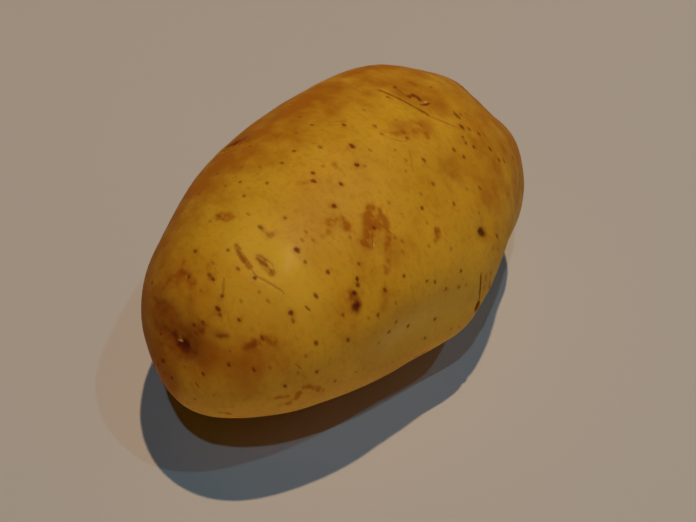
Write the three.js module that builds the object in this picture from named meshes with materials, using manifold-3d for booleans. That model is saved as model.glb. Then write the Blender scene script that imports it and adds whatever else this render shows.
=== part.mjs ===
// A washed yellow table potato, one whole tuber lying on its flattest side.
// Millimetres, +Z up. X runs along the tuber, from the stem end at -X to the rose end at +X.
// The origin is on the surface that the potato lies on, under the middle of its box.
import * as THREE from 'three';
import { mergeVertices } from 'three/addons/utils/BufferGeometryUtils.js';
import Module from 'manifold-3d';

// Driving dimensions: the smooth oval that the swellings, hollows and eyes are raised from.
const OVAL_LENGTH = 92;
const OVAL_WIDTH = 57.8;
const OVAL_HEIGHT = 52.4;
const FLAT_SPOT_DEPTH = 0.45; // how far the weight has pressed the underside flat

// Broad departures from the oval. A place is a longitude about +Z from +X and a latitude, in
// degrees on the unit ball that the oval is stretched from. At the spread, half the rise is left.
const SWELLINGS = [
  { name: 'stem end heel', lon: -173, lat: -13, spread: 12.7, rise: 1.8 },
  { name: 'stem end underside', lon: -178, lat: -44, spread: 15, rise: 1.7 },
  { name: 'stem end front corner', lon: -155, lat: 2, spread: 11, rise: 0.7 },
  { name: 'stem end crown', lon: -150, lat: 47, spread: 11, rise: 0.7 },
  { name: 'front belly hollow', lon: -125, lat: -26, spread: 15.4, rise: -0.7 },
  { name: 'front flank, stem side', lon: -128, lat: 2, spread: 13, rise: -0.6 },
  { name: 'front flank flat', lon: -104, lat: 2, spread: 13, rise: -2.4 },
  { name: 'front flank, rose side', lon: -75, lat: 6, spread: 12, rise: 0.7 },
  { name: 'front knuckle', lon: -83, lat: -17, spread: 10.8, rise: 2.3 },
  { name: 'flat of the front knuckle', lon: -78, lat: -14, spread: 4.5, rise: -0.6 },
  { name: 'dip beyond the knuckle', lon: -59, lat: -7, spread: 5, rise: -0.9 },
  { name: 'rose end front corner', lon: -35, lat: -14, spread: 14, rise: 1.7 },
  { name: 'rose end cheek', lon: -46, lat: 5, spread: 7, rise: -0.7 },
  { name: 'rose end top hollow', lon: -62, lat: 47, spread: 9, rise: -0.8 },
  { name: 'rose end shoulder hollow', lon: -10, lat: 24, spread: 10.8, rise: -2.6 },
  { name: 'rose end underside', lon: 14, lat: -40, spread: 15, rise: 1.6 },
  { name: 'rose end back swelling', lon: 50, lat: 43, spread: 12.7, rise: 1.2 },
  { name: 'back ridge', lon: 40, lat: 40, spread: 9, rise: 0.6 },
  { name: 'back hollow', lon: 130, lat: 18, spread: 11.2, rise: -0.9 },
  { name: 'back swelling', lon: 137, lat: 8, spread: 7, rise: 0.4 },
  { name: 'under back hollow', lon: 95, lat: -40, spread: 12, rise: -0.7 },
];

// The eyes. Each is a shallow dip under a low curved brow, which is the scar of a leaf and lies
// on the side of the stem end. Width is along the brow, and turn swings the brow about the eye.
const EYES = [
  { name: 'crown eye', lon: -159, lat: 50, width: 11, dip: 0.45, brow: 0.3, turn: 4 },
  { name: 'top rose eye', lon: -4, lat: 64, width: 14, dip: 0.75, brow: 0.35, turn: 14 },
  { name: 'front eye', lon: -120, lat: 36, width: 7, dip: 0.45, brow: 0.15, turn: -20 },
  { name: 'front rose eye', lon: -74, lat: 24, width: 6, dip: 0.8, brow: 0.25, turn: 0 },
  { name: 'back eye', lon: 104, lat: 42, width: 10, dip: 0.9, brow: 0.5, turn: -8 },
  { name: 'back rose eye', lon: 42, lat: 8, width: 9, dip: 0.8, brow: 0.4, turn: 10 },
  { name: 'back stem eye', lon: 150, lat: -8, width: 9, dip: 0.6, brow: 0.3, turn: -6 },
  { name: 'under eye', lon: -112, lat: -52, width: 9, dip: 0.6, brow: 0.3, turn: 8 },
  { name: 'under rose eye', lon: -28, lat: -34, width: 9, dip: 0.8, brow: 0.4, turn: -12 },
  { name: 'rose tip eye', lon: -14, lat: 6, width: 8, dip: 1.0, brow: 0.4, turn: 0 },
  { name: 'rose tip side eye', lon: 8, lat: 20, width: 6, dip: 0.6, brow: 0.3, turn: 30 },
  { name: 'under back eye', lon: 72, lat: -52, width: 9, dip: 0.6, brow: 0.3, turn: 6 },
];
const EYE_LENGTH_SHARE = 0.42; // of the width, along the tuber
const BROW_OFFSET_SHARE = 0.27; // of the width, from the eye's middle to the brow's
const BROW_THICKNESS_SHARE = 0.16;

// Where the underground stem was broken off: a dish with a small steep pit and a dried stub.
const STEM_SCAR = { lon: -176, lat: 19, turn: -38 };
const DISH_RADIUS = 6.5;
const DISH_DEPTH = 1.1;
const PIT_LENGTH = 3.6;
const PIT_WIDTH = 2.0;
const PIT_DEPTH = 1.3;
const STUB_RADIUS = 0.9;
const STUB_HEIGHT = 0.8;

// A thumbnail-sized nick on the front, where a flap of skin has dried and pulled back.
const NICK = { lon: -79, lat: -5, turn: 84 };
const NICK_LENGTH = 8;
const NICK_WIDTH = 1.6;
const NICK_DEPTH = 0.6;
const NICK_LIP = 0.3;

// The mesh: long edges on the smooth skin, short ones round the eyes, the scar and the nick.
const BALL_DETAIL = 12;
const FINE_EDGE = 1.5;
const COARSE_EDGE = 4.6;
const FINE_REACH = 0.55; // of a feature's width, from its middle
const BLEND_REACH = 6;
const REFINING_PASSES = 4;

const SKIN_COLOUR = 0xb8862f;
const degrees = THREE.MathUtils.degToRad;
const bell = (x) => Math.exp(-x * x);

// The direction of a place on the unit ball.
function ballPoint({ lon, lat }) {
  const level = Math.cos(degrees(lat));
  return new THREE.Vector3(
    level * Math.cos(degrees(lon)),
    level * Math.sin(degrees(lon)),
    Math.sin(degrees(lat)),
  );
}

const halfSizes = new THREE.Vector3(OVAL_LENGTH, OVAL_WIDTH, OVAL_HEIGHT).multiplyScalar(0.5);
const onOval = (ball) => ball.clone().multiply(halfSizes);
const ovalNormal = (ball) => ball.clone().divide(halfSizes).normalize();

// A feature's own axes on the oval: across runs along its width, and towards to the stem end.
function featureAt(place) {
  const ball = ballPoint(place);
  const out = ovalNormal(ball);
  const towards = new THREE.Vector3(-1, 0, 0).projectOnPlane(out).normalize();
  towards.applyAxisAngle(out, degrees(place.turn));
  return { ...place, middle: onOval(ball), out, towards, across: towards.clone().cross(out) };
}

// Where a point of the oval lies in a feature's axes, in millimetres.
function inAxesOf(feature, point) {
  const gap = point.clone().sub(feature.middle);
  return {
    u: gap.dot(feature.across),
    v: gap.dot(feature.towards),
    gone: gap.length(),
  };
}

const swellings = SWELLINGS.map((s) => ({
  ...s,
  ball: ballPoint(s),
  halfGap: 1 - Math.cos(degrees(s.spread)),
}));
const eyes = EYES.map(featureAt);
const stemScar = featureAt(STEM_SCAR);
const nick = featureAt(NICK);

function swellingRise(ball) {
  return swellings.reduce(
    (sum, s) => sum + s.rise * Math.pow(0.5, (1 - ball.dot(s.ball)) / s.halfGap),
    0,
  );
}

function eyeRise(eye, point) {
  const { u, v, gone } = inAxesOf(eye, point);
  if (gone > 1.5 * eye.width) return 0;
  const half = eye.width / 2;
  const dip = eye.dip * bell(u / (0.75 * half)) * bell(v / (EYE_LENGTH_SHARE * eye.width * 0.75));
  const browLine = BROW_OFFSET_SHARE * eye.width * (1 - (u * u) / (half * half * 1.4));
  const brow =
    eye.brow * bell(u / half) * bell((v - browLine) / (BROW_THICKNESS_SHARE * eye.width));
  return brow - dip;
}

function stemScarRise(point) {
  const { u, v, gone } = inAxesOf(stemScar, point);
  if (gone > 4 * DISH_RADIUS) return 0;
  const pit = PIT_DEPTH * bell(u / PIT_LENGTH) * bell(v / PIT_WIDTH);
  return STUB_HEIGHT * bell(gone / STUB_RADIUS) - DISH_DEPTH * bell(gone / DISH_RADIUS) - pit;
}

function nickRise(point) {
  const { u, v, gone } = inAxesOf(nick, point);
  if (gone > 2 * NICK_LENGTH) return 0;
  const along = bell(u / (NICK_LENGTH / 2));
  const groove = NICK_DEPTH * bell(v / NICK_WIDTH);
  const lip = NICK_LIP * bell((v - 1.6 * NICK_WIDTH) / NICK_WIDTH);
  return along * (lip - groove);
}

// The skin's point for a direction on the unit ball.
function skinPoint(ball) {
  const point = onOval(ball);
  const rise =
    swellingRise(ball) +
    eyes.reduce((sum, eye) => sum + eyeRise(eye, point), 0) +
    stemScarRise(point) +
    nickRise(point);
  return point.addScaledVector(ovalNormal(ball), rise);
}

// How long an edge may be at a point of the oval.
const fineSpots = [
  ...eyes.map((eye) => ({ middle: eye.middle, reach: FINE_REACH * eye.width })),
  { middle: stemScar.middle, reach: DISH_RADIUS },
  { middle: nick.middle, reach: FINE_REACH * NICK_LENGTH },
];

function wantedEdge(point) {
  const beyond = Math.min(...fineSpots.map((s) => point.distanceTo(s.middle) - s.reach));
  return THREE.MathUtils.lerp(FINE_EDGE, COARSE_EDGE, THREE.MathUtils.smoothstep(beyond, 0, BLEND_REACH));
}

// Cuts each edge that is too long in two, and each face by its cut edges.
function refined(balls, faces) {
  const middles = new Map();
  const middleOf = (a, b) => {
    const key = a < b ? `${a}_${b}` : `${b}_${a}`;
    if (!middles.has(key)) {
      const middle = balls[a].clone().add(balls[b]).normalize();
      const ends = onOval(balls[a]).distanceTo(onOval(balls[b]));
      const long = ends > wantedEdge(onOval(middle));
      middles.set(key, long ? balls.push(middle) - 1 : null);
    }
    return middles.get(key);
  };
  const cut = [];
  for (const face of faces) {
    const mids = face.map((corner, i) => middleOf(corner, face[(i + 1) % 3]));
    const count = mids.filter((m) => m !== null).length;
    if (count === 0) {
      cut.push(face);
      continue;
    }
    // Turned so that the first edge is cut and, where two are, the last one is whole.
    let start = mids.findIndex((m) => m !== null);
    if (count === 2) start = (mids.indexOf(null) + 1) % 3;
    const [a, b, c] = [0, 1, 2].map((i) => face[(start + i) % 3]);
    const [ab, bc, ca] = [0, 1, 2].map((i) => mids[(start + i) % 3]);
    if (count === 1) cut.push([a, ab, c], [ab, b, c]);
    if (count === 2) cut.push([ab, b, bc], [a, ab, bc], [a, bc, c]);
    if (count === 3) cut.push([a, ab, ca], [ab, b, bc], [ca, bc, c], [ab, bc, ca]);
  }
  return cut;
}

// The whole tuber as points and faces, before its flat spot is cut.
function tuberMesh() {
  const ball = new THREE.IcosahedronGeometry(1, BALL_DETAIL);
  ball.deleteAttribute('normal');
  ball.deleteAttribute('uv');
  const merged = mergeVertices(ball, 1e-4);
  const place = merged.getAttribute('position');
  const balls = Array.from({ length: place.count }, (_, i) =>
    new THREE.Vector3().fromBufferAttribute(place, i).normalize(),
  );
  let faces = [];
  for (let i = 0; i < merged.index.count; i += 3) faces.push([0, 1, 2].map((k) => merged.index.getX(i + k)));
  for (let pass = 0; pass < REFINING_PASSES; pass++) faces = refined(balls, faces);
  return { points: balls.map(skinPoint), faces };
}

const wasm = await Module();
wasm.setup();

function solidOf(positions, indices) {
  return new wasm.Manifold(
    new wasm.Mesh({
      numProp: 3,
      vertProperties: new Float32Array(positions),
      triVerts: new Uint32Array(indices),
    }),
  );
}

// A block whose top face is the surface that the potato lies on.
function groundBlock(level) {
  const side = 2 * OVAL_LENGTH;
  const block = new THREE.BoxGeometry(side, side, OVAL_HEIGHT);
  block.translate(0, 0, level - OVAL_HEIGHT / 2);
  block.deleteAttribute('normal');
  block.deleteAttribute('uv');
  const merged = mergeVertices(block);
  return solidOf(merged.getAttribute('position').array, merged.index.array);
}

function potatoGeometry() {
  const { points, faces } = tuberMesh();
  const lowest = Math.min(...points.map((p) => p.z));
  const ground = lowest + FLAT_SPOT_DEPTH;
  const tuber = solidOf(points.flatMap((p) => p.toArray()), faces.flat());
  const cut = tuber.subtract(groundBlock(ground)).getMesh();
  const geometry = new THREE.BufferGeometry();
  geometry.setAttribute('position', new THREE.BufferAttribute(cut.vertProperties, 3));
  geometry.setIndex(new THREE.BufferAttribute(cut.triVerts, 1));
  geometry.computeBoundingBox();
  const { min, max } = geometry.boundingBox;
  geometry.translate(-(min.x + max.x) / 2, -(min.y + max.y) / 2, -ground);
  geometry.computeVertexNormals();
  return geometry;
}

const skin = new THREE.MeshStandardMaterial({ color: SKIN_COLOUR, roughness: 0.5, metalness: 0 });
const potato = new THREE.Mesh(potatoGeometry(), skin);
potato.name = 'potato';

const part = new THREE.Group();
part.add(potato);

export default part;
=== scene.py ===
"""A washed yellow table potato, dressed over its solid and set on a plain pale floor.

The frame is in metres, with +X from the stem end to the rose end and +Z up. Sizes that read better in
millimetres are written as a number times MM.
"""

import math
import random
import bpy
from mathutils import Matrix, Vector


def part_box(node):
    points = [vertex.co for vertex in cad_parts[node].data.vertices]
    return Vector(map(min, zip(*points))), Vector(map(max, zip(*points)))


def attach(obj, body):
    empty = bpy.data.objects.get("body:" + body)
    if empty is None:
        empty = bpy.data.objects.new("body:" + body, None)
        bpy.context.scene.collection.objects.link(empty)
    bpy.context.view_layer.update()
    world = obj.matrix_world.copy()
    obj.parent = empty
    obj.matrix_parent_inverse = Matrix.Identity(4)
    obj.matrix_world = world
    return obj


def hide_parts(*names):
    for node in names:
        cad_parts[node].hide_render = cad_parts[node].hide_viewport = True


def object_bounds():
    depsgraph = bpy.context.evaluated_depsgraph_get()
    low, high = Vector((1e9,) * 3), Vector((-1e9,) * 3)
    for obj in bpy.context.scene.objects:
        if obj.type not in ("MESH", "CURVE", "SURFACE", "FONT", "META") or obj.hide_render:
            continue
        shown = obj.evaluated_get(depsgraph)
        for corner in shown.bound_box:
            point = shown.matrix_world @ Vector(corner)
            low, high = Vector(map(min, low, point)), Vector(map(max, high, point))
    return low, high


bl_info = {
    "name": "Potato",
    "version": (1, 0, 0),
    "blender": (4, 5, 0),
    "location": "3D View > Sidebar > Potato",
    "description": "A washed yellow table potato with its eyes, pores and stem scar, and its studio",
    "category": "Object",
}

from typing import NamedTuple

import bpy
import numpy as np
from mathutils import Quaternion, Vector
from mathutils.bvhtree import BVHTree
from mathutils.kdtree import KDTree

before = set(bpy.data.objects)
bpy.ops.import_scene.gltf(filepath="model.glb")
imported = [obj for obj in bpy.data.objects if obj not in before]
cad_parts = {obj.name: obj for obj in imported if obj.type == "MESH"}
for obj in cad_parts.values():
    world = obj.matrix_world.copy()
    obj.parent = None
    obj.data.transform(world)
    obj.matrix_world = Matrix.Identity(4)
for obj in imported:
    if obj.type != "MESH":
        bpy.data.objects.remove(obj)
CAD_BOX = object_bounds()

MM = 0.001
PHOTO_WIDTH = 696
PHOTO_HEIGHT = 522
SENSOR_WIDTH_MM = 36
SEED = 7

# What the photograph shows on the skin. Places are in its pixels, x to the right and y down, and
# sizes are in millimetres.


class Pores(NamedTuple):
    """Breathing pores of one kind: their radius, how dark they are, and their places."""

    radius: float
    tone: float
    places: tuple


PORES = {
    "large dark": Pores(0.42, 0.95, (
        (163, 361), (297, 250), (218, 309), (291, 313), (334, 206), (352, 146), (357, 165), (462, 127),
    )),
    "dark": Pores(0.33, 0.85, (
        (195, 251), (213, 279), (194, 325), (239, 320), (172, 378), (203, 374), (229, 365), (328, 272),
        (316, 296), (254, 370), (285, 386), (316, 343), (317, 372), (255, 278), (385, 290), (404, 276),
        (461, 271), (348, 340), (435, 319), (408, 326), (389, 332), (341, 184), (454, 150), (374, 228),
        (222, 296), (189, 277), (262, 338), (422, 208), (464, 157), (357, 279), (358, 285), (395, 87),
        (474, 147), (490, 149), (499, 160), (424, 160), (313, 173), (344, 125),
    )),
    "middle": Pores(0.32, 0.66, (
        (228, 250), (238, 269), (152, 283), (196, 333), (161, 334), (158, 365), (305, 262), (359, 264),
        (427, 281), (343, 315), (378, 315), (396, 322), (425, 338), (335, 381), (388, 97), (375, 126),
        (454, 204), (463, 137), (320, 147), (267, 183), (244, 196), (285, 218), (260, 227), (431, 87),
        (480, 188), (407, 138), (497, 236), (209, 275), (203, 322), (220, 315), (446, 289), (435, 282),
        (459, 287), (490, 288), (408, 96), (469, 129), (479, 134), (466, 143), (504, 161), (513, 158),
        (433, 184), (282, 163), (294, 151), (312, 125), (240, 182),
    )),
    "faint": Pores(0.3, 0.38, (
        (213, 263), (201, 291), (162, 344), (165, 373), (185, 367), (214, 395), (195, 399), (230, 351),
        (187, 403), (293, 321), (306, 356), (298, 373), (241, 301), (268, 301), (259, 292), (466, 285),
        (429, 246), (369, 318), (396, 303), (379, 343), (451, 329), (356, 372), (364, 110), (396, 120),
        (382, 134), (370, 150), (395, 150), (365, 166), (406, 160), (406, 171), (389, 203), (466, 114),
        (484, 135), (467, 189), (508, 194), (479, 213), (427, 223), (395, 238), (250, 146), (300, 117),
        (296, 133), (323, 166), (225, 186), (248, 214), (185, 214), (210, 221), (421, 194), (402, 241),
        (403, 252), (451, 249), (493, 248), (498, 249), (351, 296), (459, 327), (260, 167), (242, 167),
        (217, 174), (199, 194), (302, 240), (313, 240), (306, 232), (350, 237), (270, 368),
    )),
}


class Mark(NamedTuple):
    """A narrow line on the skin: its places, half width, darkness, groove's depth and lip's height."""

    places: tuple
    half_width: float
    tone: float
    groove: float = 0.0
    lip: float = 0.0


MARKS = {
    "crown eye, start of the brow": Mark(((237, 249), (243, 261), (249, 266)), 0.3, 0.4, 0.04, 0.02),
    "crown eye, rest of the brow": Mark(
        ((249, 266), (256, 276), (264, 280), (274, 286), (281, 290), (284, 294)), 0.22, 0.42, 0.04, 0.02
    ),
    "crown eye, bud's rim": Mark(((256, 257), (262, 262), (267, 267), (273, 273)), 0.24, 0.4, 0.03, 0.02),
    "crown eye, bud's far rim": Mark(((257, 255), (266, 259), (273, 265), (274, 272)), 0.18, 0.3),
    "top rose eye, brow": Mark(
        ((377, 89), (387, 93), (396, 97), (409, 104), (420, 110), (429, 116)), 0.27, 0.66, 0.1, 0.05
    ),
    "top rose eye, end of the brow": Mark(((429, 116), (441, 121), (456, 127)), 0.22, 0.4, 0.06, 0.04),
    "top rose eye, second brow": Mark(((393, 87), (399, 91), (408, 97)), 0.2, 0.5, 0.06, 0.05),
    "top rose eye, fold": Mark(((386, 97), (393, 99)), 0.16, 0.45),
    "top rose eye, first scale": Mark(((409, 98), (411, 97)), 0.3, 0.8, 0.1, 0.1),
    "top rose eye, second scale": Mark(((412, 94), (414, 97)), 0.42, 0.95, 0.15, 0.15),
    "top rose eye, third scale": Mark(((417, 98), (421, 100)), 0.3, 0.85, 0.1, 0.1),
    "top rose eye, chip's shadow": Mark(((421, 105), (425, 105), (430, 103)), 0.26, 0.9, 0.15),
    "double dash": Mark(((454, 112), (460, 119)), 0.48, 0.8, 0.08),
    "second of the double dash": Mark(((459, 113), (462, 116)), 0.34, 0.6),
    "dash over the middle": Mark(((311, 180), (316, 182)), 0.46, 0.9, 0.05),
    "front eye, upper pore": Mark(((357, 276), (358, 282)), 0.22, 0.8, 0.1),
    "dash by the front eye": Mark(((305, 306), (310, 311)), 0.2, 0.85, 0.1),
    "dash at the stem end": Mark(((217, 336), (228, 336)), 0.34, 0.5, 0.03),
    "low dash at the stem end": Mark(((195, 382), (199, 388)), 0.24, 0.7, 0.1),
    "streak at the stem end": Mark(((224, 278), (223, 296)), 0.3, 0.4),
    "tail of the middle pore": Mark(((292, 318), (294, 324)), 0.22, 0.3),
    "star": Mark(((294, 363), (298, 366), (302, 369)), 0.16, 0.4),
    "slit in the russet": Mark(((372, 235), (373, 247)), 0.1, 0.55, 0.1, 0.1),
    "long scratch": Mark(((409, 147), (411, 160), (413, 172)), 0.12, 0.3),
    "scratch on the right": Mark(((432, 188), (438, 201), (444, 211)), 0.1, 0.28),
    "scratch over the middle": Mark(((330, 122), (347, 121)), 0.1, 0.28),
    "scratch in the upper russet": Mark(((383, 133), (394, 132), (406, 133)), 0.11, 0.3),
    "lower scratch there": Mark(((390, 138), (400, 141), (408, 141)), 0.12, 0.35),
    "short scratch on the left": Mark(((250, 178), (262, 172)), 0.1, 0.25),
    "dash on the right": Mark(((495, 233), (498, 239)), 0.14, 0.6),
    # The nick's dark line is painted shadow in the gap under the flap's raised edge, over its real
    # groove.
    "nick, upper part": Mark(((479, 302), (480, 292), (481, 272)), 0.14, 0.95, 0.45, 0.35),
    "nick, lower part": Mark(((475, 312), (477, 307), (479, 301)), 0.48, 1.0, 0.6, 0.2),
    "nick, edge of the flap": Mark(((491, 272), (490, 281), (489, 289)), 0.3, 0.5, 0.1, 0.25),
}


class Stain(NamedTuple):
    """A soft patch of another colour: its kind, its reach to each side, its strength and its places."""

    kind: str
    reach: float
    strength: float
    places: tuple


STAINS = {
    "arch at the stem end": Stain("russet", 1.15, 1.0, ((174, 277), (181, 272), (188, 276), (192, 283))),
    "tail of the arch": Stain("russet", 0.65, 0.8, ((163, 287), (169, 280), (174, 276))),
    "dark top of the arch": Stain("cork", 0.7, 0.4, ((179, 271), (184, 273), (190, 278))),
    "inside the arch": Stain("russet", 1.4, 0.9, ((180, 279), (187, 281))),
    "streak over the arch": Stain("russet", 0.6, 0.7, ((184, 262), (181, 270))),
    "streak beside the arch": Stain("russet", 0.6, 0.6, ((213, 256), (208, 267), (211, 278))),
    "hook at the stem end": Stain("cork", 0.9, 0.5, ((154, 298), (159, 304), (166, 302))),
    "smudge at the stem end": Stain("cork", 1.0, 0.42, ((190, 298), (192, 301))),
    "patch over the scar": Stain("russet", 1.4, 0.8, ((195, 322), (203, 324), (202, 331))),
    "rim of that patch": Stain("cork", 0.5, 0.5, ((198, 320), (203, 322), (204, 330), (198, 333))),
    "patch beyond the scar": Stain("russet", 1.1, 1.0, ((247, 346), (254, 344), (263, 338), (272, 341))),
    "dark end of that patch": Stain("cork", 0.6, 0.5, ((247, 347), (256, 343))),
    "dash by the scar": Stain("cork", 0.8, 0.5, ((217, 336), (228, 336))),
    "low patch": Stain("russet", 0.9, 1.0, ((222, 413), (233, 414))),
    "low russet, left": Stain("russet", 0.85, 0.85, ((282, 405), (290, 404), (299, 393))),
    "low russet, right": Stain("russet", 0.85, 0.85, ((305, 387), (313, 386), (322, 391))),
    "crown eye's brow": Stain("russet", 0.55, 1.3, ((236, 246), (242, 257), (250, 267))),
    "crown eye's bud": Stain("russet", 0.8, 1.0, ((258, 258), (265, 264), (272, 272))),
    "front eye": Stain("russet", 1.6, 1.0, ((354, 294), (356, 306))),
    "russet, left limb": Stain("russet", 1.3, 1.1, ((370, 209), (368, 226), (366, 244))),
    "russet, right limb": Stain("russet", 1.0, 1.0, ((382, 211), (384, 222), (388, 232))),
    "russet, middle": Stain("russet", 1.4, 1.1, ((370, 223), (380, 223))),
    "small russet on the left": Stain("russet", 1.4, 0.95, ((333, 221), (340, 222), (345, 226))),
    "fainter russet beside it": Stain("russet", 1.0, 0.6, ((324, 234), (328, 231))),
    "russet streak": Stain("russet", 0.85, 0.8, ((388, 236), (388, 252), (387, 273))),
    "patch under the streak": Stain("tan", 1.3, 0.45, ((385, 294), (384, 308))),
    "russet by the front rose eye": Stain("russet", 0.9, 1.0, ((437, 231), (438, 240))),
    "dark top of that russet": Stain("cork", 0.5, 0.4, ((436, 231), (439, 231))),
    "rose end russet, roof": Stain("russet", 0.85, 0.9, ((412, 122), (421, 123), (425, 130), (427, 137))),
    "rose end russet, floor": Stain("russet", 1.1, 0.7, ((384, 133), (402, 132), (414, 131), (424, 131))),
    "upper left russet": Stain("russet", 1.1, 1.1, ((220, 216), (225, 217), (230, 217))),
    "dark end of that russet": Stain("cork", 0.4, 0.6, ((218, 215), (221, 216))),
    "smear of the dash over the middle": Stain("russet", 0.6, 0.6, ((298, 184), (311, 182))),
    "patch over the middle": Stain("russet", 1.1, 0.5, ((334, 163), (339, 169))),
    "scratchy patch by the crown eye": Stain("russet", 1.0, 0.55, ((262, 229), (268, 236), (275, 234))),
    "top rose eye's brow": Stain("russet", 0.5, 0.9, ((380, 91), (396, 98), (409, 104), (428, 115))),
    "top rose eye's scales": Stain("cork", 0.6, 0.75, ((410, 97), (413, 95), (420, 100))),
    # Painted shadow under the top rose eye's chip.
    "painted shadow under its chip": Stain("cork", 0.35, 0.7, ((421, 105), (430, 104))),
    # A soft russet patch that darkens the hollow near the rose end.
    "hollow near the rose end": Stain("russet", 2.0, 0.5, ((454, 168), (456, 178))),
    "flap of the nick": Stain("russet", 0.9, 0.55, ((485, 276), (485, 290), (482, 298))),
    "flap's edge": Stain("russet", 0.45, 0.8, ((491, 272), (489, 288))),
    "back eye's brow": Stain("cork", 1.2, 0.7, ((229, 146), (236, 143), (244, 139))),
    "round the back eye's brow": Stain("russet", 1.6, 0.9, ((226, 150), (236, 145), (248, 139))),
    "low edge, left": Stain("russet", 0.7, 0.75, ((276, 398), (289, 396))),
    "stem scar, upper": Stain("cork", 1.3, 0.75, ((176, 334), (180, 343))),
    "stem scar, lower": Stain("cork", 1.5, 1.0, ((182, 343), (188, 349))),
    "stem scar, tail": Stain("cork", 1.2, 0.7, ((188, 349), (195, 352))),
    "beside the stem scar": Stain("cork", 4.0, 0.3, ((158, 296), (164, 316))),
    "round the stem scar": Stain("cork", 5.4, 0.5, ((164, 316), (174, 336), (188, 346))),
    "front rose eye": Stain("cork", 0.95, 1.0, ((480, 231), (482, 234))),
    "round the front rose eye": Stain("cork", 1.5, 0.45, ((481, 233), (483, 236))),
    "front eye's middle pore": Stain("cork", 0.5, 0.9, ((354, 293), (355, 293))),
    "front eye's lowest pore": Stain("cork", 0.9, 0.95, ((356, 305), (356, 307))),
    "stub of the stem": Stain("pale", 0.3, 1.0, ((179, 338), (181, 341))),
    "chip in the top rose eye": Stain("pale", 0.22, 1.0, ((423, 102), (427, 102))),
    "edge of the nick's flap": Stain("pale", 0.2, 0.9, ((487, 289), (485, 294))),
    "slit's edge": Stain("pale", 0.12, 0.9, ((374, 237), (374, 247))),
    # Painted light: a lighter spot on the crown eye's mound, partly its own paler skin and partly a
    # painted highlight, and painted lighter skin round that eye, below it and on the shaded lower front.
    "crown eye's mound": Stain("bright", 3.8, 0.8, ((279, 260), (287, 268))),
    "painted light round the crown eye": Stain("bright", 6.5, 0.6, ((255, 242), (282, 270), (296, 290))),
    "painted light below the crown eye": Stain("bright", 4.0, 0.4, ((236, 288), (262, 305), (300, 315))),
    "painted light on the front": Stain("bright", 7.0, 0.5, ((395, 335), (450, 312))),
    # Tan: soil stain, and painted shade along the rims at the stem end, the top edge and the rose end.
    "stem end": Stain("tan", 6.5, 1.0, ((158, 312), (178, 335), (200, 352))),
    "left of the stem scar": Stain("tan", 5.5, 0.7, ((156, 298), (158, 322))),
    "above the stem scar": Stain("tan", 5.0, 0.5, ((194, 288), (206, 312))),
    "top edge": Stain("tan", 5.5, 0.6, ((372, 84), (402, 82), (428, 90))),
    "below the front eye": Stain("tan", 3.5, 0.4, ((348, 310), (352, 328))),
    "below the middle russet": Stain("tan", 4.0, 0.4, ((372, 242), (402, 250))),
    "below the stem end": Stain("tan", 7.5, 0.65, ((200, 350), (232, 360), (258, 362))),
    "rose end": Stain("tan", 6.5, 0.5, ((450, 164), (484, 180))),
    "edge at the rose end": Stain("tan", 5.5, 0.65, ((478, 128), (486, 150), (496, 172), (490, 195))),
    "top rose eye": Stain("tan", 4.8, 0.75, ((402, 92), (436, 106))),
    "smear over the top rose eye": Stain("russet", 1.2, 0.7, ((411, 83), (418, 86))),
    "under the rose end russet": Stain("tan", 3.2, 0.5, ((404, 127), (430, 127))),
    "under the middle russet": Stain("tan", 2.4, 0.35, ((370, 226), (386, 238))),
}


class SoilAndShadeSide(NamedTuple):
    """A side stained tan, by soil and by painted shade towards the rims: where it faces, in degrees, and
    its stain.

    The stain starts at one cosine from that direction, is full at another, and fades from there to
    the middle of the side.
    """

    azimuth: float
    elevation: float
    start: float
    full: float
    strength: float
    fade: float = 0.0


SOIL_AND_SHADE_SIDES = {
    # The tan on the stem and rose ends is partly painted shade towards the rims.
    "far side": SoilAndShadeSide(157, 5, 0.04, 0.52, 0.9, 0.5),
    "stem end": SoilAndShadeSide(-114, 14, 0.69, 0.97, 1.0),
    "rose end": SoilAndShadeSide(76, 14, 0.34, 0.9, 0.85),
    "under side": SoilAndShadeSide(0, -90, 0.5, 1.0, 0.5),
}


class Swell(NamedTuple):
    """A soft bump or hollow in the skin: its place, reach and height."""

    place: tuple
    reach: float
    rise: float


SWELLS = {
    "crown eye's mound": Swell((287, 268), 2.6, 0.3),
    "crown eye's dish": Swell((264, 263), 1.5, -0.12),
    "crown eye's bud": Swell((268, 266), 0.55, 0.2),
    "top rose eye's bud": Swell((415, 97), 1.0, 0.3),
    "hollow near the rose end": Swell((455, 172), 1.8, -0.35),
    "front rose eye's pit": Swell((481, 232), 0.75, -0.75),
    "front eye's pit": Swell((356, 305), 0.8, -0.3),
    "pit of the stem scar": Swell((185, 345), 0.9, -0.45),
    "stub of the stem": Swell((180, 340), 0.45, 0.7),
    "hump over the nick": Swell((490, 284), 1.2, 0.3),
}


class Eye(NamedTuple):
    """An eye that the photograph doesn't show: its place on the oval in degrees, turn and brow width."""

    longitude: float
    latitude: float
    turn: float
    width: float


HIDDEN_EYES = {
    "back eye": Eye(104, 42, -8, 10),
    "back rose eye": Eye(42, 8, 10, 9),
    "back stem eye": Eye(150, -8, -6, 9),
    "under eye": Eye(-112, -52, 8, 9),
    "under rose eye": Eye(-28, -34, -12, 9),
    "rose tip eye": Eye(-14, 6, 0, 8),
    "rose tip side eye": Eye(8, 20, 30, 6),
    "under back eye": Eye(72, -52, 6, 9),
}

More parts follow.
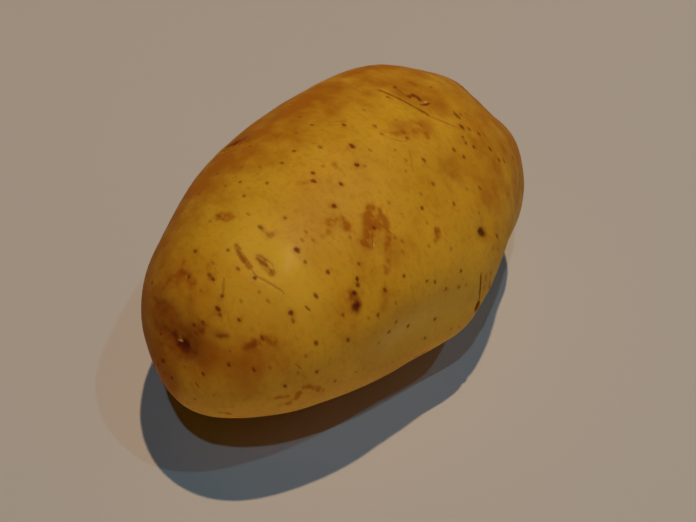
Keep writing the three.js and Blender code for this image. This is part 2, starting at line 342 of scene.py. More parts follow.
BROW_OFFSET = 0.27  # of an eye's width, from its middle to its brow
BROW_BEND = 1.4
BROW_END = 0.75  # of half an eye's width, from its middle to each end of its brow
BROW_POINTS = 9
BUD_END = 0.22  # likewise, to each end of its bud
HIDDEN_BROW = Mark((), 0.17, 0.6, 0.3, 0.15)
HIDDEN_BUD = Mark((), 0.3, 0.85, 0.2, 0.25)
HIDDEN_BROW_STAIN = Stain("russet", 0.6, 0.55, ())
HIDDEN_BUD_STAINS = (Stain("cork", 0.5, 0.6, ()), Stain("tan", 2.5, 0.5, ()))

HIDDEN_PORES = 210
PORE_SPACING = 2.3 * MM
HIDDEN_RUBS = 30
RUB_LENGTHS = (1.5 * MM, 4.5 * MM)
RUB_BEND = 0.3
RUB_REACHES = (0.6, 1.2)  # mm
RUB_STRENGTHS = (0.6, 1.0)
SEEN_ABOVE = 0.12  # cosine of the angle between the skin's normal and the line to the lens

# The skin's mesh and its relief. A line's own measures are in its half widths.
OVAL_MIDDLE = Vector((0.6, 0.5, 25.75)) * MM
OVAL_HALF_SIZES = Vector((46, 28.9, 26.2)) * MM
MERGE_DISTANCE = 0.001 * MM
FORM_LEVELS = 2  # subdivision of the solid's copy
WAVES = {"broad waves": (11 * MM, 1.0), "fine waves": (4 * MM, 0.3)}  # grain, share of undulation
ROUTE_STEP = 0.3 * MM
FINEST_GROOVE = 0.32  # mm, the least half width that the mesh can show
GROOVE_END = 0.02  # of a line's length, where its groove has run out
GROOVE_REACH = 5.0
LIP_REACH = 4.0
LIP_OFFSET = 1.7
NO_MARK = 9.0  # farther than any line's edge
LINE_END_WIDTH = 0.4  # of its width in the middle
PORE_STRETCHES = (1.1, 1.8)
HALO_REACH = 2.6  # pore radii
STAIN_BOX = 3.0  # of a stain's reaches


def linear(hex_colour):
    """An sRGB colour such as #C8963C as linear red, green, blue and alpha."""
    parts = [int(hex_colour[i : i + 2], 16) / 255 for i in (1, 3, 5)]
    return tuple(p / 12.92 if p <= 0.04045 else ((p + 0.055) / 1.055) ** 2.4 for p in parts) + (1.0,)


def colour_setting(name, description, hex_colour):
    """A colour that the user can change."""
    return bpy.props.FloatVectorProperty(
        name=name, description=description, size=4, subtype="COLOR", default=linear(hex_colour)
    )


class PotatoSkinSettings(bpy.types.PropertyGroup):
    """The skin's mesh, relief and colours."""

    rows_along: bpy.props.IntProperty(
        name="Rows along", description="Faces of the rough oval along the tuber", default=40
    )
    rows_round: bpy.props.IntProperty(
        name="Rows round", description="Faces of the rough oval across each side", default=26
    )
    fineness: bpy.props.IntProperty(
        name="Fineness", description="Subdivision level of the finished skin", default=2
    )
    undulation: bpy.props.FloatProperty(
        name="Undulation", description="Height of the soft waves", default=0.35 * MM, unit="LENGTH"
    )
    yellow: colour_setting("Yellow", "Clean skin", "#E4B52D")
    # The tone of the painted light: a painted highlight and painted lit skin, lighter than the clean
    # yellow.
    bright: colour_setting("Bright", "Painted light on the skin", "#F2CD46")
    ochre: colour_setting("Ochre", "Thicker skin", "#D09A18")
    # Tan is soil stain, and painted shade along the rims.
    tan: colour_setting("Tan", "Soil stain and painted rim shade", "#B06408")
    russet: colour_setting("Russet", "Rubbed, corky skin", "#AC5808")
    # Brown and cork also carry painted shadow: in the nick's gap and under the top rose eye's chip.
    brown: colour_setting("Brown", "Pores and scratches", "#7A2E04")
    cork: colour_setting("Cork", "Dried scars and pits", "#621E06")
    pale: colour_setting("Pale", "Loose dry edges", "#E2BE78")


class PotatoStudioSettings(bpy.types.PropertyGroup):
    """Where the photograph was taken from, and its light."""

    azimuth: bpy.props.FloatProperty(
        name="Azimuth", description="Degrees round the potato, 0 looking along +Y", default=-48.1
    )
    elevation: bpy.props.FloatProperty(
        name="Elevation", description="Degrees above the horizon", default=50.0
    )
    distance: bpy.props.FloatProperty(
        name="Distance", description="From the lens to the aim", default=232.2 * MM, unit="LENGTH"
    )
    lens_mm: bpy.props.FloatProperty(name="Lens", description="Focal length in millimetres", default=60.0)
    aim: bpy.props.FloatVectorProperty(
        name="Aim",
        description="The point in the middle of the picture",
        size=3,
        subtype="TRANSLATION",
        default=(-1.12 * MM, -2.94 * MM, 21.55 * MM),
    )
    floor_colour: colour_setting("Floor", "Pale matt board", "#CECBC6")
    backdrop: colour_setting("Backdrop", "Plain wall", "#8A8076")
    key_power: bpy.props.FloatProperty(
        name="Key", description="Power of the warm lamp overhead, behind the potato", default=7.1
    )
    right_power: bpy.props.FloatProperty(
        name="Right", description="Power of the cool lamp on the camera's right", default=1.0
    )
    near_power: bpy.props.FloatProperty(
        name="Near", description="Power of the cool lamp on the camera's side", default=1.48
    )
    room_power: bpy.props.FloatProperty(
        name="Room", description="Power of the warm light, far off and low", default=6.4
    )
    window_power: bpy.props.FloatProperty(
        name="Window", description="Power of the broad blue light on the right", default=0.05
    )


class Lamp(NamedTuple):
    """A round lamp: where it shines from, in degrees, its distance and width in metres, and colour."""

    azimuth: float
    elevation: float
    distance: float
    width: float
    colour: str


LAMPS = {
    "key": Lamp(104, 79, 1.2, 0.025, "#FFDAB2"),
    "right": Lamp(33, 67, 1.2, 0.025, "#9CE3FF"),
    "near": Lamp(-52, 73, 1.2, 0.025, "#BCE2FF"),
    "room": Lamp(-40, 1.3, 2.4, 0.14, "#FFBC88"),
    "window": Lamp(38, 42, 0.45, 0.3, "#9CC8FF"),
}
FLOOR_WIDTH = 2
NEAREST_SEEN = 0.01


def view_axes(azimuth, elevation):
    """Right, up and backward unit vectors of a camera at an azimuth and elevation in degrees."""
    a, e = math.radians(azimuth), math.radians(elevation)
    back = Vector((math.sin(a) * math.cos(e), -math.cos(a) * math.cos(e), math.sin(e)))
    right = Vector((math.cos(a), math.sin(a), 0))
    return right, back.cross(right), back


def lens_place(studio):
    """Where the camera stands."""
    back = view_axes(studio.azimuth, studio.elevation)[2]
    return Vector(studio.aim) + back * studio.distance


def deselect_all():
    """Leaves nothing selected, so that an operator acts on the new piece alone."""
    bpy.ops.object.select_all(action="DESELECT")


def only(obj):
    """Selects one object and makes it active."""
    deselect_all()
    obj.select_set(True)
    bpy.context.view_layer.objects.active = obj


def apply_modifier(obj, kind, **settings):
    """Adds a modifier with its settings and applies it."""
    only(obj)
    modifier = obj.modifiers.new(kind.title(), kind)
    for name, value in settings.items():
        setattr(modifier, name, value)
    bpy.ops.object.modifier_apply(modifier=modifier.name)


def read_points(obj):
    """The mesh's points as an array, one row each."""
    points = np.empty(len(obj.data.vertices) * 3)
    obj.data.vertices.foreach_get("co", points)
    return points.reshape(-1, 3)


def read_normals(obj):
    """The mesh's point normals as an array, one row each."""
    normals = np.empty(len(obj.data.vertices) * 3, np.float32)
    obj.data.vertex_normals.foreach_get("vector", normals)
    return normals.reshape(-1, 3).astype(float)


def write_points(obj, points):
    """Moves the mesh's points."""
    obj.data.vertices.foreach_set("co", points.ravel())
    obj.data.update()


def surface_of(obj):
    """The mesh as a surface on which places can be found."""
    return BVHTree.FromObject(obj, bpy.context.evaluated_depsgraph_get())


# The skin's mesh


def merged_copy(node):
    """A copy of a node's solid, its loose triangles joined and rounded, for the skin to be fitted to."""
    form = node.copy()
    form.data = node.data.copy()
    bpy.context.scene.collection.objects.link(form)
    only(form)
    bpy.ops.object.mode_set(mode="EDIT")
    bpy.ops.mesh.select_all(action="SELECT")
    bpy.ops.mesh.remove_doubles(threshold=MERGE_DISTANCE)
    bpy.ops.object.mode_set(mode="OBJECT")
    apply_modifier(form, "SUBSURF", levels=FORM_LEVELS, render_levels=FORM_LEVELS)
    return form


def cut_edges_along(obj, axes, cuts):
    """Cuts every edge that runs along one of the axes into equal pieces."""
    mesh = obj.data
    for edge in mesh.edges:
        start, end = (mesh.vertices[i].co for i in edge.vertices)
        run = [abs(d) for d in end - start]
        edge.select = run.index(max(run)) in axes
    for item in (*mesh.vertices, *mesh.polygons):
        item.select = False
    bpy.context.tool_settings.mesh_select_mode = (False, True, False)
    bpy.ops.object.mode_set(mode="EDIT")
    bpy.ops.mesh.subdivide(number_cuts=cuts)
    bpy.ops.object.mode_set(mode="OBJECT")


def rough_oval(settings, low, high):
    """A ball of even quads, grown from a cube and stretched to fill a box."""
    deselect_all()
    bpy.ops.mesh.primitive_cube_add(size=2)
    oval = bpy.context.object
    cut_edges_along(oval, (0,), settings.rows_along - 1)
    cut_edges_along(oval, (1, 2), settings.rows_round - 1)
    # Turned into equal angles, the rows keep one width from the middle of a side to its corners.
    spread = np.tan(read_points(oval) * math.pi / 4)
    ball = spread / np.linalg.norm(spread, axis=1)[:, None]
    write_points(oval, ball)
    only(oval)
    bpy.ops.transform.resize(value=(high - low) / 2)
    bpy.ops.transform.translate(value=(high + low) / 2)
    bpy.ops.object.transform_apply(location=True, rotation=True, scale=True)
    return oval


def fitted_skin(settings):
    """The skin's smooth mesh, fitted to the solid and fine enough for its relief."""
    low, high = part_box("potato")
    form = merged_copy(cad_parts["potato"])
    skin = rough_oval(settings, low, high)
    skin.name = "potato_skin"
    skin.data.name = "potato_skin"
    fit = {"target": form, "wrap_method": "NEAREST_SURFACEPOINT"}
    apply_modifier(skin, "SHRINKWRAP", **fit)
    apply_modifier(skin, "SMOOTH", factor=0.5, iterations=3)
    apply_modifier(skin, "SHRINKWRAP", **fit)
    apply_modifier(skin, "SUBSURF", levels=settings.fineness, render_levels=settings.fineness)
    bpy.data.objects.remove(form)
    only(skin)
    bpy.ops.object.shade_smooth()
    return skin


def wave(skin, settings):
    """Gives the skin the broad and fine waves of a grown tuber."""
    for name, (grain, share) in WAVES.items():
        clouds = bpy.data.textures.new(name, "CLOUDS")
        clouds.noise_scale = grain
        apply_modifier(
            skin,
            "DISPLACE",
            texture=clouds,
            texture_coords="LOCAL",
            strength=settings.undulation * share,
            mid_level=0.5,
        )


# Places on the skin


def seen_place(surface, studio, place):
    """Where the line of sight through a picture place meets the skin."""
    right, up, back = view_axes(studio.azimuth, studio.elevation)
    per_pixel = SENSOR_WIDTH_MM / studio.lens_mm / PHOTO_WIDTH
    across = right * (place[0] - PHOTO_WIDTH / 2) * per_pixel
    upward = up * (PHOTO_HEIGHT / 2 - place[1]) * per_pixel
    hit = surface.ray_cast(lens_place(studio), across + upward - back)[0]
    if hit is None:
        raise RuntimeError(f"The photograph shows no skin at {place}")
    return hit


def oval_place(surface, ball):
    """The place on the skin that a place on the unit ball stands for, and its normal."""
    out = Vector([b * half for b, half in zip(ball, OVAL_HALF_SIZES)])
    return surface.ray_cast(OVAL_MIDDLE + out * 2, -out)[:2]


def eye_place(surface, eye, across, towards):
    """A place in an eye: millimetres across it and towards the stem end."""
    lon, lat = math.radians(eye.longitude), math.radians(eye.latitude)
    ball = (math.cos(lat) * math.cos(lon), math.cos(lat) * math.sin(lon), math.sin(lat))
    middle, normal = oval_place(surface, ball)
    stemward = Vector((-1, 0, 0))
    stemward = (stemward - normal * stemward.dot(normal)).normalized()
    stemward.rotate(Quaternion(normal, math.radians(eye.turn)))
    aside = stemward.cross(normal)
    return surface.find_nearest(middle + (aside * across + stemward * towards) * MM)[0]


def route_through(surface, ends):
    """A line over the skin through some places, in short steps."""
    route = []
    for start, end in zip(ends, ends[1:]):
        count = max(1, round((end - start).length / ROUTE_STEP))
        route += [surface.find_nearest(start.lerp(end, i / count))[0] for i in range(count)]
    return np.array([*route, ends[-1]])


def eye_lines(surface, eye):
    """A hidden eye's brow and the scales of its bud, as routes with their marks."""
    half = eye.width / 2
    brow = []
    for share in np.linspace(BROW_END, -BROW_END, BROW_POINTS):
        rise = BROW_OFFSET * eye.width * (1 - share * share / BROW_BEND)
        brow.append(eye_place(surface, eye, share * half, rise))
    bud = [eye_place(surface, eye, share * half, 0) for share in (BUD_END, 0, -BUD_END)]
    return [(route_through(surface, brow), HIDDEN_BROW), (route_through(surface, bud), HIDDEN_BUD)]


def seen_routes(surface, studio, table):
    """Each mark or stain that the photograph shows, after its route."""
    routes = []
    for item in table.values():
        ends = [seen_place(surface, studio, place) for place in item.places]
        routes.append((route_through(surface, ends), item))
    return routes


def all_lines(surface, studio):
    """Every narrow line on the skin: its route and its mark."""
    lines = seen_routes(surface, studio, MARKS)
    for eye in HIDDEN_EYES.values():
        lines += eye_lines(surface, eye)
    return lines


def all_stains(surface, studio):
    """Every soft patch on the skin: its route and its stain."""
    stains = seen_routes(surface, studio, STAINS)
    for eye in HIDDEN_EYES.values():
        brow, bud = (route for route, _ in eye_lines(surface, eye))
        stains.append((brow, HIDDEN_BROW_STAIN))
        stains += [(bud, stain) for stain in HIDDEN_BUD_STAINS]
    return stains + hidden_rubs(surface, studio)


def hidden_place(surface, studio, draw):
    """A random place, and its normal, on the sides that the photograph doesn't show."""
    lens = lens_place(studio)
    while True:
        ball = Vector([draw.gauss(0, 1) for _ in range(3)]).normalized()
        place, normal = oval_place(surface, ball)
        if normal.dot((lens - place).normalized()) < SEEN_ABOVE:
            return place, normal


def hidden_pores(surface, studio):
    """Pores on the sides that the photograph doesn't show, strewn at its rate."""
    draw = random.Random(SEED)
    kinds = list(PORES.values())
    shares = [len(kind.places) for kind in kinds]
    found = []
    while len(found) < HIDDEN_PORES:
        place, _ = hidden_place(surface, studio, draw)
        if all((place - other).length > PORE_SPACING for other, _ in found):
            found.append((place, draw.choices(kinds, shares)[0]))
    return found


def hidden_rubs(surface, studio):
    """Rubbed streaks on those sides: their routes, each with its stain."""
    draw = random.Random(SEED)
    rubs = []
    for _ in range(HIDDEN_RUBS):
        place, normal = hidden_place(surface, studio, draw)
        heading = normal.orthogonal()
        heading.rotate(Quaternion(normal, draw.uniform(0, math.tau)))
        length = draw.uniform(*RUB_LENGTHS)
        bend = normal.cross(heading) * draw.uniform(-RUB_BEND, RUB_BEND)
        ways = (Vector(), heading / 2 + bend, heading)
        ends = [surface.find_nearest(place + way * length)[0] for way in ways]
        stain = Stain("russet", draw.uniform(*RUB_REACHES), draw.uniform(*RUB_STRENGTHS), ())
        rubs.append((route_through(surface, ends), stain))
    return rubs


def all_pores(surface, studio):
    """Every pore: its place and its kind."""
    pores = []
    for kind in PORES.values():
        pores += [(seen_place(surface, studio, place), kind) for place in kind.places]
    return pores + hidden_pores(surface, studio)


def near_route(route, points, reach):
    """The numbers of the points in a box round a route."""
    inside = (points > route.min(axis=0) - reach) & (points < route.max(axis=0) + reach)
    return np.flatnonzero(inside.all(axis=1))


def nearest_on(route, points):
    """For each point: the nearest place on a route, how far along it that is, and the way there."""
    best = np.full(len(points), np.inf)
    foot = np.zeros_like(points)
    run = np.zeros(len(points))
    heading = np.zeros_like(points)
    for number, (start, end) in enumerate(zip(route, route[1:])):
        leg = end - start
        share = np.clip((points - start) @ leg / (leg @ leg), 0, 1)
        place = start + share[:, None] * leg
        gap = np.linalg.norm(points - place, axis=1)
        closer = gap < best
        best[closer] = gap[closer]
        foot[closer] = place[closer]
        run[closer] = (number + share[closer]) / (len(route) - 1)
        heading[closer] = leg / np.linalg.norm(leg)
    return foot, run, heading


def bell(ratio):
    """A round hill: 1 in the middle, and near nothing at twice its reach."""
    return np.exp(-(ratio**2))


# The relief


def add_relief(skin, studio):
    """Raises and sinks the skin for its eyes, scars and lines, and keeps it above the floor."""
    surface = surface_of(skin)
    points = read_points(skin)
    normals = read_normals(skin)
    rise = np.zeros(len(points))
    for swell in SWELLS.values():
        place = np.array(seen_place(surface, studio, swell.place))
        rise += swell.rise * bell(np.linalg.norm(points - place, axis=1) / (swell.reach * MM))
    for route, mark in all_lines(surface, studio):
        width = max(mark.half_width, FINEST_GROOVE) * MM
        near = near_route(route, points, GROOVE_REACH * width)
        foot, run, heading = nearest_on(route, points[near])
        offset = points[near] - foot
        aside = (offset * np.cross(heading, normals[near])).sum(axis=1)
        gap = np.linalg.norm(offset, axis=1) / width
        fade = np.sqrt(np.sin(np.pi * np.clip(run, GROOVE_END, 1 - GROOVE_END)))
        rise[near] -= mark.groove * fade * bell(gap)
        lip = bell(aside / width - LIP_OFFSET) * (gap < LIP_REACH)
        rise[near] += mark.lip * fade * lip
    points += normals * rise[:, None] * MM
    points[:, 2] = np.maximum(points[:, 2], 0)
    write_points(skin, points)


# What the material reads from the mesh


def write_attribute(skin, name, domain, values):
    """Stores one number, or three, for each point or face corner."""
    kind, field = ("FLOAT_VECTOR", "vector") if values.ndim == 2 else ("FLOAT", "value")
    attribute = skin.data.attributes.new(name, kind, domain)
    attribute.data.foreach_set(field, values.astype(np.float32).ravel())


class Faces:
    """The mesh's faces: their middles, and for each corner its face and its point's place."""

    def __init__(self, skin):
        mesh = skin.data
        self.middles = np.empty(len(mesh.polygons) * 3)
        mesh.polygons.foreach_get("center", self.middles)
        self.middles = self.middles.reshape(-1, 3)
        corners = np.empty(len(mesh.polygons), int)
        mesh.polygons.foreach_get("loop_total", corners)
        self.face_of_corner = np.repeat(np.arange(len(corners)), corners)
        point_of_corner = np.empty(len(mesh.loops), int)
        mesh.loops.foreach_get("vertex_index", point_of_corner)
        self.corners = read_points(skin)[point_of_corner]


def paint_pores(skin, faces, pores):
    """Gives each face corner its offset from the nearest pore, in that pore's radii."""
    tree = KDTree(len(pores))
    for number, (place, _) in enumerate(pores):
        tree.insert(place, number)
    tree.balance()
    nearest = np.array([tree.find(middle)[1] for middle in faces.middles])[faces.face_of_corner]
    places = np.array([place for place, _ in pores])
    radii = np.array([kind.radius for _, kind in pores]) * MM
    tones = np.array([kind.tone for _, kind in pores])
    offsets = (faces.corners - places[nearest]) / radii[nearest][:, None]
    # Each pore is drawn out round the tuber.
    round_tuber = np.cross((1, 0, 0), places - np.array(OVAL_MIDDLE))
    round_tuber /= np.linalg.norm(round_tuber, axis=1)[:, None]
    stretch = np.random.default_rng(SEED).uniform(*PORE_STRETCHES, len(pores))
    along = (offsets * round_tuber[nearest]).sum(axis=1)
    offsets -= round_tuber[nearest] * (along * (1 - 1 / stretch[nearest]))[:, None]
    write_attribute(skin, "pore", "CORNER", offsets)
    write_attribute(skin, "pore_tone", "CORNER", tones[nearest])
    points = read_points(skin)
    halo = np.zeros(len(points))
    for place, radius, tone in zip(places, radii, tones):
        halo += tone * bell(np.linalg.norm(points - place, axis=1) / (HALO_REACH * radius))
    write_attribute(skin, "halo", "POINT", halo)


def paint_lines(skin, faces, lines):
    """Gives each face corner near a line its offset from it, in the line's half widths there."""
    best = np.full(len(faces.middles), NO_MARK)
    offsets = np.full((len(faces.corners), 3), NO_MARK)
    tones = np.zeros(len(faces.corners))
    for route, mark in lines:
        width = mark.half_width * MM
        near = near_route(route, faces.middles, NO_MARK * width)
        foot, _, _ = nearest_on(route, faces.middles[near])
        gaps = np.linalg.norm(faces.middles[near] - foot, axis=1) / width
        mine = near[gaps < best[near]]
        best[mine] = gaps[gaps < best[near]]
        own = np.zeros(len(best), bool)
        own[mine] = True
        corners = np.flatnonzero(own[faces.face_of_corner])
        foot, run, _ = nearest_on(route, faces.corners[corners])
        taper = LINE_END_WIDTH + (1 - LINE_END_WIDTH) * np.sin(np.pi * run)
        offsets[corners] = (faces.corners[corners] - foot) / (width * taper)[:, None]
        tones[corners] = mark.tone
    write_attribute(skin, "line", "CORNER", offsets)
    write_attribute(skin, "line_tone", "CORNER", tones)


def paint_stains(skin, stains):
    """Gives each point how much of each kind of stain, and of painted light, it has."""
    points = read_points(skin)
    fields = {kind: np.zeros(len(points)) for kind in ("russet", "cork", "pale", "tan", "bright")}
    for route, stain in stains:
        reach = stain.reach * MM
        near = near_route(route, points, STAIN_BOX * reach)
        foot, _, _ = nearest_on(route, points[near])
        amount = stain.strength * bell(np.linalg.norm(points[near] - foot, axis=1) / reach)
        field = fields[stain.kind]
        field[near] = np.maximum(field[near], amount)
    normals = read_normals(skin)
    for side in SOIL_AND_SHADE_SIDES.values():
        facing = normals @ np.array(view_axes(side.azimuth, side.elevation)[2])
        share = np.clip((facing - side.start) / (side.full - side.start), 0, 1)
        inward = np.clip((facing - side.full) / (1 - side.full), 0, 1)
        amount = side.strength * share * (1 - side.fade * inward)
        fields["tan"] = np.maximum(fields["tan"], amount)
    for kind, values in fields.items():
        write_attribute(skin, kind, "POINT", values)


def paint(skin, studio):
    """Stores every mark on the skin for its material to read."""
    surface = surface_of(skin)
    faces = Faces(skin)
    paint_pores(skin, faces, all_pores(surface, studio))
    paint_lines(skin, faces, all_lines(surface, studio))
    paint_stains(skin, all_stains(surface, studio))


# The materials


def per_mm(size):
    """A texture's scale, in object metres, for a pattern whose grains are this many millimetres."""
    return 1 / (size * MM)


def add_node(tree, kind, inputs=None, **settings):
    """Adds a node, sets its properties, and sets or links each input by its name or number."""
    node = tree.nodes.new(kind)
    for name, value in settings.items():
        setattr(node, name, value)
    for name, value in (inputs or {}).items():
        if isinstance(value, bpy.types.NodeSocket):
            tree.links.new(value, node.inputs[name])
        else:
            node.inputs[name].default_value = value
    return node


def new_material(name):
    """An empty node material, and its tree."""
    material = bpy.data.materials.new(name)
    material.use_nodes = True
    material.node_tree.nodes.clear()
    return material, material.node_tree


# The noises in the skin: the size of their grains in millimetres, and how fine their detail is.
GRAINS = {
    "field": (15, 2.0),
    "blotch": (5, 3.0),
    "fleck": (1.4, 3.0),
    "fibre": (0.5, 2.0),
    "ragged": (1.7, 5.0),
    "freckle": (0.9, 2.0),
    "edge": (0.45, 1.0),
}
GRAIN_MIDDLE = 0.5  # what a noise is on average
ROUND_THE_TUBER = (1.6, 1.0, 1.0)  # grains are drawn out across X, as skin is when it swells

# How a pore or line ends, in radii or half widths: how far its edge wanders, where it starts and
# where it is full.
EDGES = {"pore": (1.0, 1.45, 0.4), "line": (1.5, 1.8, 0.2)}

# How a stain breaks up: its noise, how ragged that makes it, where it starts and where it is full.
SPREADS = {
    "russet": ("ragged", 2.0, 0.1, 1.2),
    "cork": ("ragged", 0.7, 0.06, 0.95),
    "pale": ("fibre", 0.3, 0.25, 0.75),
    "tan": ("blotch", 0.8, 0.0, 1.0),
    "bright": ("blotch", 0.4, 0.0, 1.0),
    "halo": ("fleck", 0.6, 0.1, 1.4),
}

# The colours over the clean skin, lowest first. Those that come and go with a noise have where in it
# they start, where they are full, how strong they are and their name, and the marks the last two.
MOTTLES = {
    "field": (0.35, 0.75, 0.6, "ochre"),
    "blotch": (0.45, 0.78, 0.35, "ochre"),
    "fleck": (0.48, 0.78, 0.3, "tan"),
    "freckle": (0.6, 0.78, 0.28, "tan"),
}
COVERS = {
    # Painted light: lighter yellow laid where a highlight and lit skin are painted on.
    "bright": (0.9, "bright"),
    "tan": (0.9, "tan"),
    "halo": (0.5, "tan"),
    "russet": (0.74, "russet"),
    "cork": (0.95, "cork"),
    "line": (0.95, "brown"),
    "pore": (0.95, "brown"),
    "pale": (0.9, "pale"),
}

# Roughness with no fleck or mark, and what flecks, dry marks, the tan of soil and painted rim shade, and
# the patches of painted light add to it.
BARE_ROUGHNESS = 0.46
FLECK_ROUGHNESS = 0.16
DRY_ROUGHNESS = 0.4
TAN_ROUGHNESS = 0.18
PAINTED_LIGHT_ROUGHNESS = -0.3

# The finest relief, in millimetres: the skin's own grain, sunk pores and lines, and raised cork.
FIBRE_HEIGHT = 0.05
MARK_HEIGHTS = {"pore": -0.035, "line": -0.03, "russet": 0.015}
RELIEF_STRENGTH = 0.8


def skin_grains(tree):
    """The noises that every part of the skin's look is drawn from."""
    place = add_node(tree, "ShaderNodeTexCoord").outputs["Object"]
    drawn = add_node(tree, "ShaderNodeMapping", {"Vector": place, "Scale": ROUND_THE_TUBER}).outputs[0]
    grains = {}
    for name, (size, detail) in GRAINS.items():
        sizes = {"Vector": drawn, "Scale": per_mm(size), "Detail": detail}
        grains[name] = add_node(tree, "ShaderNodeTexNoise", sizes)
    return grains


def mark_shares(tree, grains):
    """How much of each mark and stain lies at a point, from 0 to 1."""
    shares = {}
    shift = add_node(
        tree,
        "ShaderNodeVectorMath",
        {0: grains["edge"].outputs["Color"], 1: (GRAIN_MIDDLE,) * 3},
        operation="SUBTRACT",
    ).outputs[0]
    for name, (wander, start, full) in EDGES.items():
        stored = add_node(tree, "ShaderNodeAttribute", attribute_name=name).outputs["Vector"]
        tone = add_node(tree, "ShaderNodeAttribute", attribute_name=f"{name}_tone").outputs["Fac"]
        wandering = {0: shift, 1: (wander,) * 3, 2: stored}
        offset = add_node(tree, "ShaderNodeVectorMath", wandering, operation="MULTIPLY_ADD").outputs[0]
        gap = add_node(tree, "ShaderNodeVectorMath", {0: offset}, operation="LENGTH").outputs["Value"]
        inside = add_node(
            tree,
            "ShaderNodeMapRange",
            {"Value": gap, "From Min": start, "From Max": full, "To Max": tone},
            interpolation_type="SMOOTHSTEP",
        )
        shares[name] = inside.outputs["Result"]
    for name, (grain, raggedness, start, full) in SPREADS.items():
        stored = add_node(tree, "ShaderNodeAttribute", attribute_name=name).outputs["Fac"]
        # The noise only counts where there is some of the stain.
        ragged = {0: grains[grain].outputs["Fac"], 1: 2 * raggedness, 2: 1 - raggedness}
        factor = add_node(tree, "ShaderNodeMath", ragged, operation="MULTIPLY_ADD").outputs[0]
        amount = add_node(tree, "ShaderNodeMath", {0: stored, 1: factor}, operation="MULTIPLY").outputs[0]
        inside = add_node(
            tree,
            "ShaderNodeMapRange",
            {"Value": amount, "From Min": start, "From Max": full},
            interpolation_type="SMOOTHSTEP",
        )
        shares[name] = inside.outputs["Result"]
    return shares


def skin_colour(tree, settings, grains, shares):
    """The clean skin's colour under its mottles and then its marks."""
    layers = []
    for name, (start, full, strength, over) in MOTTLES.items():
        grain = grains[name].outputs["Fac"]
        share = add_node(
            tree,
            "ShaderNodeMapRange",
            {"Value": grain, "From Min": start, "From Max": full, "To Max": strength},
            interpolation_type="SMOOTHSTEP" if name == "field" else "LINEAR",
        )
        layers.append((share.outputs["Result"], over))
    for name, (strength, over) in COVERS.items():
        share = add_node(tree, "ShaderNodeMath", {0: shares[name], 1: strength}, operation="MULTIPLY")
        layers.append((share.outputs[0], over))
    colour = settings.yellow
    for share, over in layers:
        mix = {0: share, 6: colour, 7: getattr(settings, over)}
        colour = add_node(tree, "ShaderNodeMix", mix, data_type="RGBA").outputs[2]
    return colour


def with_more(tree, base, parts):
    """A value with more added to it, in proportion to each share."""
    for share, more in parts:
        sums = {0: share, 1: more, 2: base}
        base = add_node(tree, "ShaderNodeMath", sums, operation="MULTIPLY_ADD").outputs[0]
    return base


def skin_roughness(tree, grains, shares):
    """Satin skin, dull where it is rubbed, dry or tan, and glossier on the patches of painted light."""
    dry = shares["russet"]
    for name in ("cork", "pore", "line"):
        both = {0: dry, 1: shares[name]}
        dry = add_node(tree, "ShaderNodeMath", both, operation="MAXIMUM").outputs[0]
    parts = (
        (grains["fleck"].outputs["Fac"], FLECK_ROUGHNESS),
        (dry, DRY_ROUGHNESS),
        (shares["tan"], TAN_ROUGHNESS),
        (shares["bright"], PAINTED_LIGHT_ROUGHNESS),
    )
    return with_more(tree, BARE_ROUGHNESS, parts)


def skin_normal(tree, grains, shares):
    """The surface's direction with its finest relief."""
    parts = [(grains["fibre"].outputs["Fac"], FIBRE_HEIGHT)]
    parts += [(shares[name], rise) for name, rise in MARK_HEIGHTS.items()]
    bump = {"Height": with_more(tree, 0, parts), "Distance": MM, "Strength": RELIEF_STRENGTH}
    return add_node(tree, "ShaderNodeBump", bump).outputs[0]


def potato_skin_material(settings):
    """Washed potato skin: a thin dry cork over wet flesh, so it is satin, warm and a little clear."""
    material, tree = new_material("washed potato skin")
    grains = skin_grains(tree)
    shares = mark_shares(tree, grains)
    shader = add_node(
        tree,
        "ShaderNodeBsdfPrincipled",
        {
            "Base Color": skin_colour(tree, settings, grains, shares),
            "Roughness": skin_roughness(tree, grains, shares),
            "Normal": skin_normal(tree, grains, shares),
            "Specular IOR Level": 0.14,
            "Subsurface Weight": 0.7,
            "Subsurface Radius": (1.0, 0.42, 0.1),
            "Subsurface Scale": 6.0 * MM,
        },
    )
    add_node(tree, "ShaderNodeOutputMaterial", {"Surface": shader.outputs[0]})
    return material


def floor_material(settings):
    """Matt painted board: an even pale surface with no grain to see from here."""
    material, tree = new_material("matt pale board")
    shader = add_node(
        tree, "ShaderNodeBsdfPrincipled", {"Base Color": settings.floor_colour, "Roughness": 0.9}
    )
    add_node(tree, "ShaderNodeOutputMaterial", {"Surface": shader.outputs[0]})
    return material


class POTATO_OT_skin(bpy.types.Operator):
    """Models the potato's skin over its solid, with its eyes, pores and scar"""

    bl_idname = "potato.skin"
    bl_label = "Potato skin"

    def execute(self, context):
        settings = context.scene.potato_skin
        studio = context.scene.potato_studio
        skin = fitted_skin(settings)
        wave(skin, settings)
        add_relief(skin, studio)
        paint(skin, studio)
        skin.data.materials.append(potato_skin_material(settings))
        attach(skin, "root")
        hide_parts("potato")
        return {"FINISHED"}


def add_lamp(name, lamp, power):
    """A lamp that shines at the potato: a small one throws crisp shadows, a broad one soft ones."""
    back = view_axes(lamp.azimuth, lamp.elevation)[2]
    aim = (CAD_BOX[0] + CAD_BOX[1]) / 2
    deselect_all()
    bpy.ops.object.light_add(type="AREA", location=aim + back * lamp.distance)
    light = bpy.context.object
    light.name = name
    light.rotation_euler = back.to_track_quat("Z", "Y").to_euler()
    light.data.shape = "DISK"
    light.data.size = lamp.width
    light.data.energy = power
    light.data.color = linear(lamp.colour)[:3]


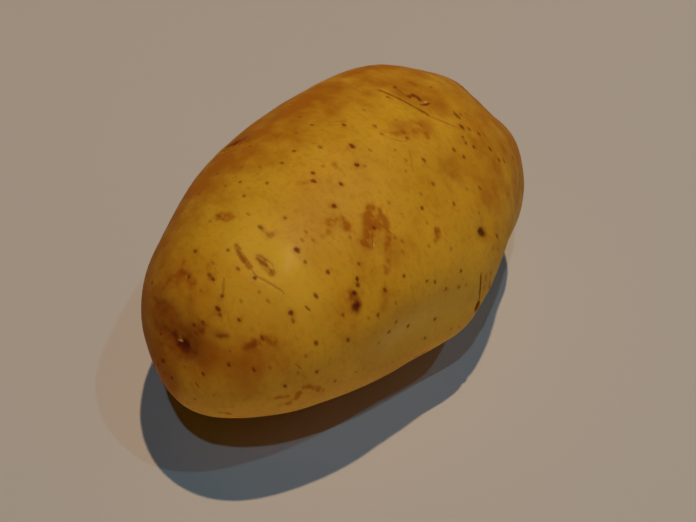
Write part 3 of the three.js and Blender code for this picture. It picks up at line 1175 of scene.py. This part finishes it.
def backdrop_world(studio):
    """A plain wall all round that the camera sees and that gives no light."""
    world = bpy.data.worlds.new("backdrop")
    world.use_nodes = True
    tree = world.node_tree
    tree.nodes.clear()
    seen = add_node(tree, "ShaderNodeLightPath").outputs["Is Camera Ray"]
    wall = add_node(tree, "ShaderNodeBackground", {"Color": studio.backdrop, "Strength": seen})
    add_node(tree, "ShaderNodeOutputWorld", {"Surface": wall.outputs[0]})
    return world


class POTATO_OT_studio(bpy.types.Operator):
    """Lays the pale floor and sets the camera and the lights"""

    bl_idname = "potato.studio"
    bl_label = "Studio"

    def execute(self, context):
        studio = context.scene.potato_studio
        deselect_all()
        bpy.ops.mesh.primitive_plane_add(size=FLOOR_WIDTH)
        floor = bpy.context.object
        floor.name = "floor"
        floor.data.materials.append(floor_material(studio))
        back = view_axes(studio.azimuth, studio.elevation)[2]
        bpy.ops.object.camera_add(location=lens_place(studio))
        camera = bpy.context.object
        camera.rotation_euler = back.to_track_quat("Z", "Y").to_euler()
        camera.data.lens = studio.lens_mm
        camera.data.sensor_width = SENSOR_WIDTH_MM
        camera.data.clip_start = NEAREST_SEEN
        context.scene.camera = camera
        for name, lamp in LAMPS.items():
            add_lamp(name, lamp, getattr(studio, f"{name}_power"))
        context.scene.world = backdrop_world(studio)
        context.scene.view_settings.view_transform = "Standard"
        return {"FINISHED"}


class POTATO_PT_sidebar(bpy.types.Panel):
    """Lists the potato's pieces and their settings in the sidebar"""

    bl_label = "Potato"
    bl_idname = "POTATO_PT_sidebar"
    bl_space_type = "VIEW_3D"
    bl_region_type = "UI"
    bl_category = "Potato"

    def draw(self, context):
        for operator, group in (
            (POTATO_OT_studio, context.scene.potato_studio),
            (POTATO_OT_skin, context.scene.potato_skin),
        ):
            box = self.layout.box()
            box.operator(operator.bl_idname)
            for name in group.bl_rna.properties.keys():
                if name not in ("rna_type", "name"):
                    box.prop(group, name)


CLASSES = (
    PotatoSkinSettings,
    PotatoStudioSettings,
    POTATO_OT_skin,
    POTATO_OT_studio,
    POTATO_PT_sidebar,
)


def register():
    for cls in CLASSES:
        bpy.utils.register_class(cls)
    bpy.types.Scene.potato_skin = bpy.props.PointerProperty(type=PotatoSkinSettings)
    bpy.types.Scene.potato_studio = bpy.props.PointerProperty(type=PotatoStudioSettings)


def unregister():
    del bpy.types.Scene.potato_studio
    del bpy.types.Scene.potato_skin
    for cls in reversed(CLASSES):
        bpy.utils.unregister_class(cls)


def main():
    register()
    bpy.ops.potato.studio()
    bpy.ops.potato.skin()


if __name__ == "__main__":
    main()
